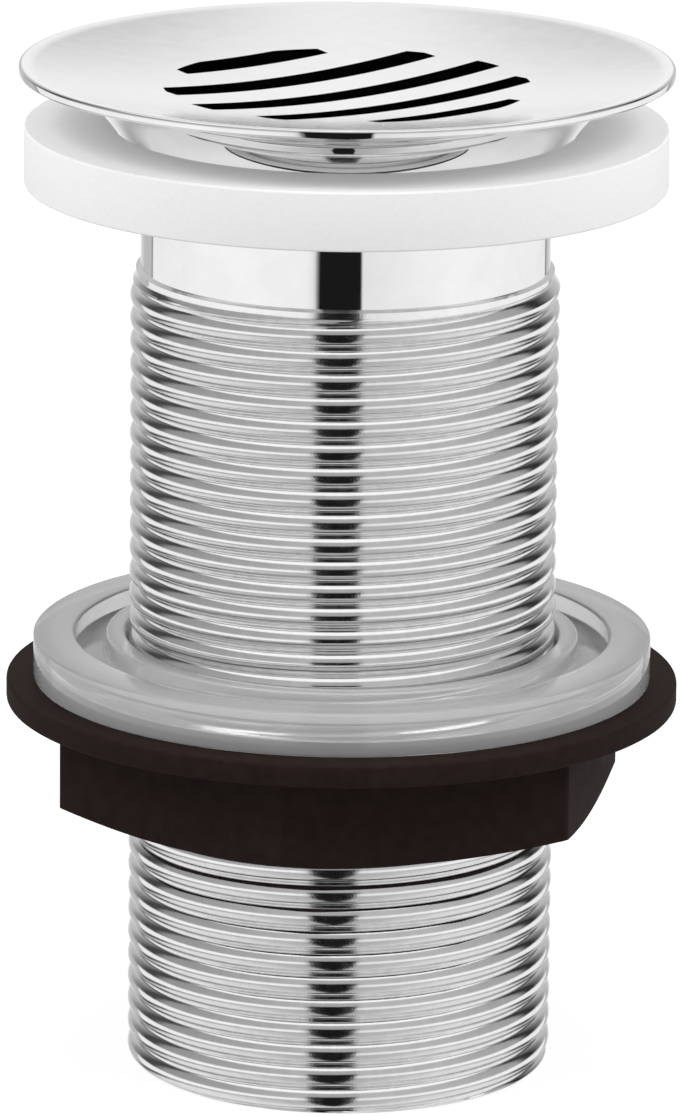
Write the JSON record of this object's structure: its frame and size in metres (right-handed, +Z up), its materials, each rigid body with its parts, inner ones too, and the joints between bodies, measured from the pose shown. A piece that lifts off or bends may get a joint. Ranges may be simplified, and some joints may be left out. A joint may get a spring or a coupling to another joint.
{
  "type": "basin waste",
  "caption": "Slotted basin waste: a dished chrome flange on a threaded tail, with a foam washer, a clear washer and a flanged backnut that screws along the tail.",
  "frame": {"origin": "centre of the tail's lower end, on the axis", "axes": "+Z up the axis to the dished flange, -Y towards the viewer of the picture"},
  "size_m": [0.066, 0.066, 0.1],
  "materials": {
    "chrome": "polished plating on brass",
    "white_foam": "matte closed-cell foam",
    "clear_plastic": "clear gloss",
    "black_plastic": "satin moulded"
  },
  "bodies": {
    "waste": {"waste_body": "chrome", "foam_washer": "white_foam"},
    "washer": {"clear_washer": "clear_plastic"},
    "nut": {"backnut": "black_plastic"}
  },
  "joints": [
    {"name": "nut_travel", "type": "slide", "parent": "waste", "child": "washer", "axis": [0, 0, 1], "range_m": [-0.0254, 0.0393]},
    {"name": "nut_turn", "type": "hinge", "parent": "washer", "child": "nut", "pos_m": [0, 0, 0.0388], "axis": [0, 0, 1], "range_deg": [-3960, 6120]}
  ],
  "couplings": [
    {"joint": "nut_travel", "follows": "nut_turn", "m_per_rad": 0.00036749}
  ]
}
